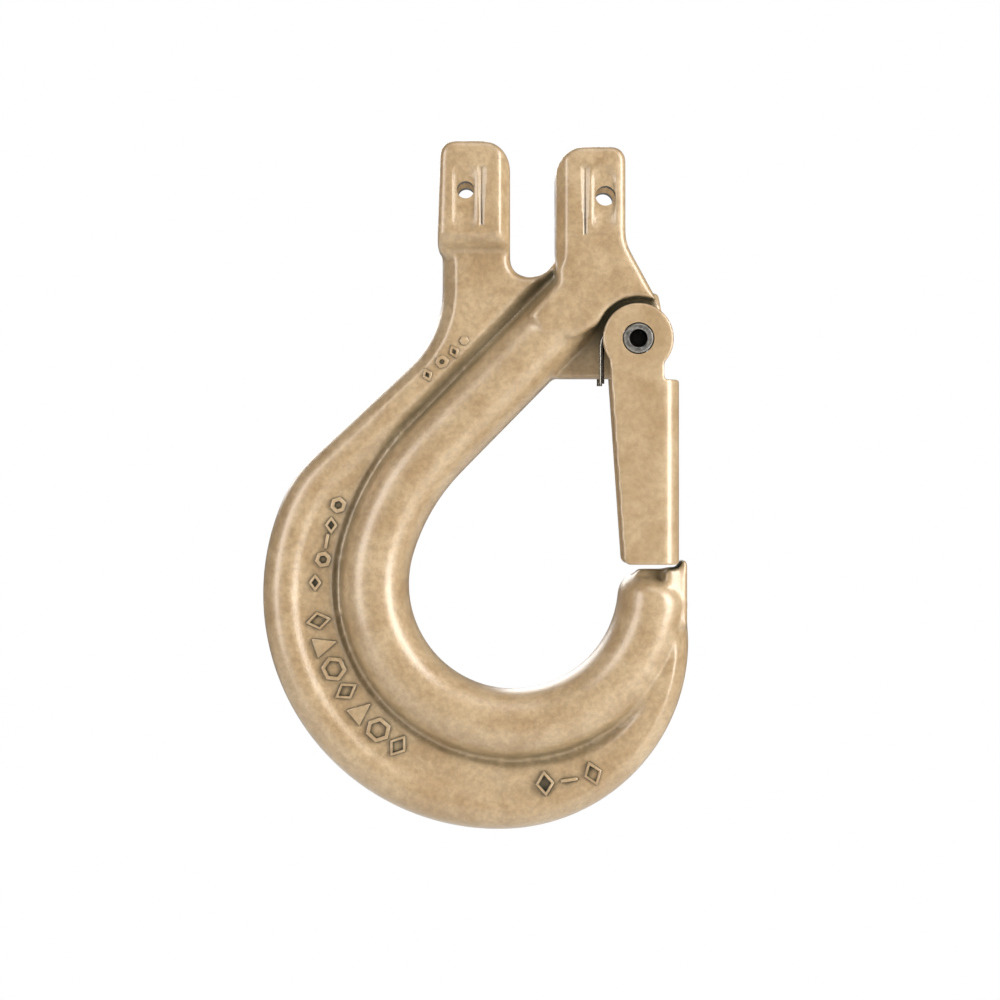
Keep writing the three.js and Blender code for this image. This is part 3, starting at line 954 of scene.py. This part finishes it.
def ear_dies(face):
    """The tools that press the shallow channels and V grooves into the ears' faces."""
    tools = []
    for side in SIDES:
        for (left, right), (high, low) in CHANNELS:
            places = ((left, high), (right, high), (right, low), (left, low))
            corners = [(x, z, CHANNEL_CORNER) for x, z in places]
            tools.append(ear_die("channel", corners, CHANNEL_SHARES, side, face, CHANNEL_FACES))
        for x, high, low in V_GROOVES:
            corners = [
                (x - V_TOP[0], high, V_TOP[1]),
                (x + V_TOP[0], high, V_TOP[1]),
                (x + V_BOTTOM[0], low, V_BOTTOM[1]),
                (x - V_BOTTOM[0], low, V_BOTTOM[1]),
            ]
            tools.append(ear_die("v_groove", corners, V_SHARES, side, face, V_FACES))
    return tools


# ---- Raised marks -------------------------------------------------------------------------


def vectors(*places):
    return [Vector(place) for place in places]


def lozenge(size):
    side = size * 0.72
    return vectors((0, size), (side, 0), (0, -size), (-side, 0))


def hexagon(size):
    angles = (math.pi / 3 * i for i in range(6))
    return vectors(*((size * math.cos(a), size * math.sin(a)) for a in angles))


def wedge(size):
    side = size * 0.8
    return vectors((0, size), (side, -side), (-side, -side))


def stick(size):
    half = 0.32
    return vectors((-size, half), (size, half), (size, -half), (-size, -half))


# One row that follows the bowl, evenly spaced in degrees round its centre
MARK_ROW = (lozenge, wedge, hexagon, lozenge, wedge, hexagon, lozenge)
ROW_SIZE = 2.6
ROW_RADIUS = 39.4
ROW_START = 190.5
ROW_STEP = 7.3
# Single marks: shape, size, x, z and turn
PANEL_MARKS = (
    (hexagon, 1.7, -38.6, -62.4, 0.3),
    (lozenge, 1.8, -40.0, -66.4, 0.0),
    (stick, 1.5, -40.9, -69.6, 1.4),
    (hexagon, 1.7, -41.6, -73.2, 0.2),
    (lozenge, 1.8, -43.2, -77.8, 0.0),
)
LEVEL_MARKS = (
    (lozenge, 2.6, 2.4, -117.6, 0.1),
    (stick, 1.7, 7.2, -116.9, 0.15),
    (lozenge, 2.6, 11.9, -115.6, 0.35),
    (hexagon, 1.0, -13.6, -29.8, 0.0),
    (lozenge, 1.5, -15.6, -32.0, 0.4),
    (hexagon, 1.4, -18.0, -34.0, 0.2),
    (lozenge, 1.5, -20.9, -36.6, 0.4),
)
HOLLOW_WALL = 0.85  # from an outer corner to an inner one
HOLLOW_FROM = 1.2  # a smaller mark is solid
MARK_EDGE = 0.2


def raised_mark(shape, size, place, turn, thickness, hollow):
    """One mark that stands out of both sides of the flange."""
    spun = Matrix.Rotation(turn, 2)

    def outline(reach):
        return [spun @ p + place for p in shape(reach)]

    mark = plate("mark", outline(size), thickness, MARK_EDGE, 2)
    if hollow:
        cut(mark, plate("mark_hollow", outline(size - HOLLOW_WALL), thickness + 4))
    return mark


def model_marks(lines, panel, level):
    """Plain raised lozenges, wedges, hexagons and sticks on the flange's panel and levels."""
    marks = []
    for i, shape in enumerate(MARK_ROW):
        angle = math.radians(ROW_START + ROW_STEP * i)
        place = polar(lines.bowl, ROW_RADIUS, angle)
        turn = angle + math.pi / 2
        marks.append(raised_mark(shape, ROW_SIZE, place, turn, panel, shape is not wedge))
    for singles, thickness in ((PANEL_MARKS, panel), (LEVEL_MARKS, level)):
        for shape, size, x, z, turn in singles:
            hollow = shape is not stick and size > HOLLOW_FROM
            marks.append(raised_mark(shape, size, Vector((x, z)), turn, thickness, hollow))
    activate(marks[0])
    for mark in marks:
        mark.select_set(True)
    bpy.ops.object.join()
    return bpy.context.object


# ---- Operators ----------------------------------------------------------------------------


class HOOK_OT_forging(bpy.types.Operator):
    """Model the forged body: bar, flange, clevis, lug and tip"""

    bl_idname = "hook.forging"
    bl_label = "Forging"

    def execute(self, context):
        sizes = context.scene.hook_forging
        lines = HookLines(sizes)
        flange = sizes.flange_depth / MM
        drop = sizes.panel_drop / MM
        depth = sizes.clevis_depth / MM
        slot = sizes.slot_width / MM
        panel = flange / 2 - drop
        level = flange / 2 - LEVEL_DROP
        body = model_rim(lines, flange, drop)
        fuse(body, model_panel(lines, panel), neck_level(lines, level), belly_level(lines, level))
        for side in SIDES:
            cut(body, model_groove(lines, side, panel))
        cut(body, *slot_tools("slot_flare", slot, FLANGE_FLARE, *FLANGE_FLARE_FACES))
        left, right = model_ears(depth)
        fuse(body, left)
        cut(body, plate("slot", slot_outline(slot), THROUGH))
        fuse(body, model_bar(lines, sizes.bar_depth / MM), right)
        cut(body, plate("slot", slot_outline(slot), THROUGH))
        ear_face = depth / 2 + EAR_FLARE_OUTSIDE
        cut(body, *slot_tools("slot_edge", slot, EAR_FLARE, ear_face, EAR_FLARE_INSIDE))
        fuse(body, model_nose(lines))
        cut(body, rod("head_hollow", PIVOT, HEAD_RELIEF, sides=64))
        fuse(body, model_lug())
        soften(body, sizes.voxel, FORGING_PASSES)
        rise = sizes.mark_rise / MM
        fuse(body, model_marks(lines, flange + 2 * (rise - drop), flange + rise))
        cut(body, *ear_dies(depth / 2))
        bore = sizes.load_pin_bore / MM / 2
        cut(body, rod("load_pin_bore", Vector((0, 0)), bore, 1.5 * THROUGH, 64, "X"))
        cut(body, rod("left_hole", LEFT_HOLE, sizes.left_hole / MM / 2))
        cut(body, rod("right_hole", RIGHT_HOLE, sizes.right_hole / MM / 2))
        cut(body, rod("pivot_hole", PIVOT, PIVOT_BORE))
        body.name = "hook_forging"
        colours = context.scene.hook_colours
        coat = gold_paint("drop_forged_steel_gold_enamel", colours, 1.1, 0.55, 0.10)
        finish_piece(body, "root", "forging_coat", coat, "hook_body", angle=GROOVE_SMOOTH_ANGLE)
        return {"FINISHED"}


class HOOK_OT_latch(bpy.types.Operator):
    """Model the latch, pressed from sheet steel"""

    bl_idname = "hook.latch"
    bl_label = "Latch"

    def execute(self, context):
        sizes = context.scene.hook_latch
        lines = HookLines(context.scene.hook_forging)
        half = sizes.width / MM / 2
        sheet = sizes.sheet / MM
        x, z = PIVOT
        web = lines.tip_outer - NOSE_THICKNESS - STOP_GAP
        bottom = lines.tip_crest + SEAT_GAP
        blade = [
            (x - BLADE_LEFT_TOP, z - BLADE_TOP, 0),
            (x + BLADE_RIGHT, z - BLADE_TOP, 0),
            (x + BLADE_RIGHT, z - WEB_TOP, 0),
            (web, z - WEB_TOP, WEB_CORNERS[0]),
            (web, bottom, WEB_CORNERS[1]),
            (x - BLADE_LEFT_BOTTOM, bottom, WEB_CORNERS[2]),
        ]
        latch = plate("latch_channel", rounded(blade), 2 * half + 4)
        channel = self.channel("outside", CHANNEL_ENDS, web, half, FOLD_OUTSIDE, bottom)
        inside = self.channel(
            "inside", 2 * CHANNEL_ENDS, web - sheet, half - sheet, FOLD_INSIDE, bottom
        )
        cut(channel, inside)
        combine(latch, channel, "INTERSECT")
        head = rod("head", PIVOT, sizes.head_radius / MM, 2 * half, 64)
        bpy.ops.mesh.primitive_cube_add(size=1, location=(x * MM, 0, z * MM))
        between = bpy.context.object
        between.scale = (THROUGH * MM, 2 * (half - sheet) * MM, THROUGH * MM)
        bpy.ops.object.transform_apply()
        cut(head, between)
        fuse(latch, head)
        soften(latch, LATCH_VOXEL * MM, LATCH_PASSES)
        cut(latch, rod("pin_hole", PIVOT, sizes.pin_diameter / MM / 2 + PIN_ROOM))
        colours = context.scene.hook_colours
        coat = gold_paint("pressed_sheet_gold_enamel", colours, 0.9, 0.35, 0.07)
        finish_piece(latch, "latch", "latch_coat", coat, "latch")
        return {"FINISHED"}

    def channel(self, name, ends, web, half, radius, bottom):
        """An upright channel's outside or inside, drawn in X and Y."""
        back = PIVOT.x - CHANNEL_BACK - ends
        corners = [(back, -half, 0), (web, -half, radius), (web, half, radius), (back, half, 0)]
        low = bottom - ends
        start_ring(name, [(p.x, p.y, low) for p in rounded(corners)], True)
        extrude(0, 0, PIVOT.y + ends - low)
        return finish_edit()


class HOOK_OT_pin(bpy.types.Operator):
    """Turn the pin that the latch swings on, hollow at each end"""

    bl_idname = "hook.pin"
    bl_label = "Latch pin"

    def execute(self, context):
        sizes = context.scene.hook_latch
        end = sizes.width / MM / 2 + PIN_PROUD
        outer = sizes.pin_diameter / MM / 2
        inner = sizes.pin_socket / MM / 2
        bottom = end - sizes.socket_depth / MM
        section = [
            (0.0, bottom - SOCKET_CONE),
            (inner, bottom),
            (inner, end - SOCKET_EDGE),
            (inner + SOCKET_EDGE, end),
            (outer - PIN_EDGE, end),
            (outer, end - PIN_EDGE),
        ]
        section += [(r, -y) for r, y in reversed(section)]
        points = [(PIVOT.x + r, y, PIVOT.y) for r, y in section]
        start_ring("latch_pin_hollow_ended", points, False)
        carry([("turn", PIVOT, 2 * math.pi, 64)])
        pin = finish_edit()
        steel = bare_steel("turned_steel_oiled", context.scene.hook_colours.pin, 0.36, 0.8)
        finish_piece(pin, "root", "pin_steel", steel, "latch_pin", angle=30)
        return {"FINISHED"}


class HOOK_OT_spring(bpy.types.Operator):
    """Wind the latch's double torsion spring"""

    bl_idname = "hook.spring"
    bl_label = "Latch spring"

    def execute(self, context):
        sizes = context.scene.hook_latch
        wire = sizes.wire / MM
        coil = sizes.pin_diameter / MM / 2 + COIL_ROOM + wire / 2
        near = COIL_START + wire / 2
        width = (wire + COIL_GAP) * COIL_TURNS
        web = WEB_REACH - sizes.sheet / MM - STOP_GAP - wire / 2
        leg = LEG_GAP + wire / 2 - HEAD_RELIEF
        steel = bare_steel("drawn_spring_wire", context.scene.hook_colours.wire, 0.3, 0.5)
        for side, name, nodes in ((-1, "front", ("latch_spring",)), (1, "back", ())):
            points = []
            for i in range(COIL_POINTS + 1):
                angle = 2 * math.pi * COIL_TURNS * i / COIL_POINTS
                y = side * (near + width * i / COIL_POINTS)
                points.append((coil * math.cos(angle), y, coil * math.sin(angle)))
            for i in range(1, LEG_BEND_POINTS + 1):
                angle = math.pi / 2 * i / LEG_BEND_POINTS
                z = LEG_TOP + (coil - LEG_TOP) * math.cos(angle)
                points.append((leg * math.sin(angle), side * (near + width), z))
            points.append((leg, side * (near + width), LEG_END))
            wound = self.wind("spring_coil_" + name, points, wire)
            finish_piece(wound, "root", "spring_wire", steel, *nodes)
        reaches = (coil, (web + coil) / 2, web)
        half = [(coil, near, 0.0)]
        half += [(x, near, z) for x, z in zip(reaches, LOOP_DROPS)]
        half += [(web, near - inwards, z) for inwards, z in LOOP_CORNER]
        loop = [(x, -y, z) for x, y, z in half] + [(x, y, z) for x, y, z in reversed(half)]
        finish_piece(self.wind("spring_loop", loop, wire), "latch", "spring_wire", steel)
        return {"FINISHED"}

    def wind(self, name, points, wire):
        """A round wire through points measured from the pivot."""
        curve = bpy.data.curves.new(name, "CURVE")
        curve.dimensions = "3D"
        curve.bevel_depth = wire / 2 * MM
        curve.bevel_resolution = 3
        curve.use_fill_caps = True
        spline = curve.splines.new("POLY")
        spline.points.add(len(points) - 1)
        for target, (x, y, z) in zip(spline.points, points):
            target.co = ((PIVOT.x + x) * MM, y * MM, (PIVOT.y + z) * MM, 1.0)
        activate(new_object(name, curve))
        bpy.ops.object.convert(target="MESH")
        return bpy.context.object


# The stage, in metres and watts: name, place, width, height, power and colour of each light
LIGHTS = (
    ("right_strip", (0.58, -0.36, 0.10), 0.28, 0.7, 6.9, (1.0, 0.99, 0.98)),
    ("left_strip", (-0.50, -0.42, 0.06), 0.28, 0.6, 3.0, (1.0, 0.97, 0.96)),
    ("top", (0.1, -0.25, 0.6), 0.5, 0.4, 1.2, (1.0, 1.0, 1.0)),
    ("back", (-0.2, 0.6, 0.25), 0.5, 0.4, 2.0, (1.0, 1.0, 1.0)),
)
LIGHTS_AIM = Vector((0, 0, -0.06))
SOFT_LIGHT = 0.17
FLOOR_SIZE = 1.4
FLOOR_LEVEL = -0.3
CAMERA_PLACE = (-0.0065, -0.64, -0.0614)
CAMERA_FIELD = 0.2  # the width seen at the hook
CAMERA_SENSOR = 36.0


class HOOK_OT_stage(bpy.types.Operator):
    """Set the pale floor, the soft studio light and the camera"""

    bl_idname = "hook.stage"
    bl_label = "Stage"

    def execute(self, context):
        scene = context.scene
        scene.view_settings.view_transform = "Standard"
        scene.view_settings.look = "None"
        bpy.ops.mesh.primitive_plane_add(size=FLOOR_SIZE, location=(0, 0, FLOOR_LEVEL))
        floor = bpy.context.object
        floor.name = "floor"
        bpy.ops.object.transform_apply()
        paper, tree = new_material("pale_floor")
        values = {"Base Color": linear(scene.hook_colours.floor), "Roughness": 0.8}
        shader = node(tree, "ShaderNodeBsdfPrincipled", values=values)
        node(tree, "ShaderNodeOutputMaterial", links={"Surface": (shader, 0)})
        floor.data.materials.append(paper)
        for light in LIGHTS:
            self.light(*light)
        self.surround(scene)
        data = bpy.data.cameras.new("camera")
        data.sensor_width = CAMERA_SENSOR
        data.lens = CAMERA_SENSOR * -CAMERA_PLACE[1] / CAMERA_FIELD
        data.clip_start = 0.01
        camera = new_object("camera", data)
        camera.location = CAMERA_PLACE
        camera.rotation_euler = (math.pi / 2, 0, 0)
        scene.camera = camera
        return {"FINISHED"}

    def light(self, name, place, width, height, power, colour):
        data = bpy.data.lights.new(name, "AREA")
        data.shape = "RECTANGLE"
        data.size = width
        data.size_y = height
        data.energy = power
        data.color = colour
        lamp = new_object(name, data)
        lamp.location = place
        lamp.rotation_euler = (LIGHTS_AIM - Vector(place)).to_track_quat("-Z", "Y").to_euler()

    def surround(self, scene):
        """A white surround that lights the hook less than it shows."""
        world = bpy.data.worlds.new("studio")
        scene.world = world
        world.use_nodes = True
        tree = world.node_tree
        tree.nodes.clear()
        ray = node(tree, "ShaderNodeLightPath")
        values = {"Color": grey(1.0), "Strength": SOFT_LIGHT}
        soft = node(tree, "ShaderNodeBackground", values=values)
        white = node(tree, "ShaderNodeBackground", values={"Color": grey(1.0), "Strength": 1.0})
        links = {0: (ray, "Is Camera Ray"), 1: (soft, 0), 2: (white, 0)}
        chosen = node(tree, "ShaderNodeMixShader", links=links)
        node(tree, "ShaderNodeOutputWorld", links={"Surface": (chosen, 0)})


class HOOK_PT_panel(bpy.types.Panel):
    """Lists the hook's pieces"""

    bl_idname = "HOOK_PT_panel"
    bl_label = "Sling hook"
    bl_space_type = "VIEW_3D"
    bl_region_type = "UI"
    bl_category = "Hook"

    def draw(self, context):
        for step in STEPS:
            self.layout.operator(step.bl_idname, text=step.bl_label)


STEPS = (HOOK_OT_forging, HOOK_OT_latch, HOOK_OT_pin, HOOK_OT_spring, HOOK_OT_stage)
CLASSES = (ForgingSizes, LatchSizes, HookColours, *STEPS, HOOK_PT_panel)


def register():
    for cls in CLASSES:
        bpy.utils.register_class(cls)
    bpy.types.Scene.hook_forging = PointerProperty(type=ForgingSizes)
    bpy.types.Scene.hook_latch = PointerProperty(type=LatchSizes)
    bpy.types.Scene.hook_colours = PointerProperty(type=HookColours)


def unregister():
    del bpy.types.Scene.hook_colours
    del bpy.types.Scene.hook_latch
    del bpy.types.Scene.hook_forging
    for cls in reversed(CLASSES):
        bpy.utils.unregister_class(cls)


def main():
    register()
    bpy.ops.hook.forging()
    bpy.ops.hook.latch()
    bpy.ops.hook.pin()
    bpy.ops.hook.spring()
    bpy.ops.hook.stage()


if __name__ == "__main__":
    main()
